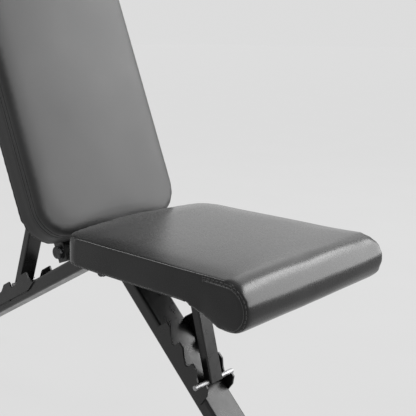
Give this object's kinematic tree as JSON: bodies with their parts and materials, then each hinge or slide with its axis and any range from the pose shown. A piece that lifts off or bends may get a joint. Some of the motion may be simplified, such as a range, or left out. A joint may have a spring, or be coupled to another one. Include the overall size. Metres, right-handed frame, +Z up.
{
  "type": "adjustable weight bench",
  "caption": "Folding adjustable weight bench with a reclining backrest and a tilting seat, each held by a strut whose pin drops into a notched ladder on an A-frame.",
  "frame": {"origin": "on the floor, in the middle of the box round the whole bench at rest", "axes": "+X towards the seat nose, +Y to the left of a person seated on it, +Z up"},
  "size_m": [1.174, 0.39, 1.1664],
  "materials": {
    "padding": "fine-grained black imitation leather, low sheen",
    "plywood": "raw plywood behind a black backing cloth",
    "black_paint": "matte black powder coat",
    "bright_pin": "dull bright zinc",
    "zinc_hardware": "black oxide",
    "foot_rubber": "moulded matte rubber",
    "black_plastic": "moulded matte plastic"
  },
  "bodies": {
    "frame": {"main_beam": "black_paint", "beam_end_plate": "black_paint", "rear_foot_tube": "black_paint", "rear_foot_cap_left": "foot_rubber", "rear_foot_cap_right": "foot_rubber", "back_ladder_left": "black_paint", "back_ladder_right": "black_paint", "hinge_gusset_left": "black_paint", "hinge_gusset_right": "black_paint", "fold_plate_left": "black_paint", "fold_plate_right": "black_paint", "back_hinge_tube": "black_paint", "back_hinge_bolt": "zinc_hardware", "back_hinge_nut": "zinc_hardware", "back_hinge_washers": "zinc_hardware", "fold_bolt": "zinc_hardware", "fold_nut": "zinc_hardware", "fold_washers": "zinc_hardware"},
    "front_leg": {"front_leg": "black_paint", "leg_end_plate": "black_paint", "front_foot_tube": "black_paint", "front_foot_cap_left": "foot_rubber", "front_foot_cap_right": "foot_rubber", "seat_ladder_left": "black_paint", "seat_ladder_right": "black_paint", "fold_lugs": "black_paint", "fold_sleeve": "black_paint", "seat_hinge_sleeve": "black_paint", "seat_hinge_bolt": "zinc_hardware", "seat_hinge_nut": "zinc_hardware"},
    "seat": {"seat_pad": "padding", "seat_board": "plywood", "seat_rail_left": "black_paint", "seat_rail_right": "black_paint", "seat_rail_plugs": "black_plastic", "seat_crossbar": "black_paint", "seat_screws": "zinc_hardware", "seat_strut_bolt": "zinc_hardware", "seat_strut_nut": "zinc_hardware"},
    "seat_strut": {"seat_strut": "black_paint", "seat_strut_sleeve": "black_paint", "seat_strut_pin": "bright_pin"},
    "backrest": {"back_pad": "padding", "back_board": "plywood", "back_rail_left": "black_paint", "back_rail_right": "black_paint", "back_bush_left": "black_plastic", "back_bush_right": "black_plastic", "back_rail_plugs": "black_plastic", "back_crossbar_lower": "black_paint", "back_crossbar_upper": "black_paint", "strut_bracket_left": "black_paint", "strut_bracket_right": "black_paint", "back_screws": "zinc_hardware", "back_strut_bolt": "zinc_hardware", "back_strut_nut": "zinc_hardware"},
    "back_strut": {"back_strut": "black_paint", "back_strut_sleeve": "black_paint", "back_strut_pin": "bright_pin"}
  },
  "joints": [
    {"name": "leg_fold", "type": "hinge", "parent": "frame", "child": "front_leg", "pos_m": [0.14038, 0, 0.37251], "axis": [0, 1, 0], "range_deg": [0, 104]},
    {"name": "seat_tilt", "type": "hinge", "parent": "front_leg", "child": "seat", "pos_m": [0.157, 0, 0.407], "axis": [0, -1, 0], "range_deg": [0, 22.3]},
    {"name": "seat_strut_swing", "type": "hinge", "parent": "seat", "child": "seat_strut", "pos_m": [0.314, 0, 0.414], "axis": [0, -1, 0], "range_deg": [-23.3, 0]},
    {"name": "back_recline", "type": "hinge", "parent": "frame", "child": "backrest", "pos_m": [0.095, 0, 0.408], "axis": [0, -1, 0], "range_deg": [0, 68.2]},
    {"name": "back_strut_swing", "type": "hinge", "parent": "backrest", "child": "back_strut", "pos_m": [-0.01501, 0, 0.59301], "axis": [0, -1, 0], "range_deg": [-95.7, 0]}
  ],
  "couplings": [
    {"joint": "seat_strut_swing", "follows": "seat_tilt", "ratio": -1.04},
    {"joint": "back_strut_swing", "follows": "back_recline", "ratio": -1.4022}
  ]
}
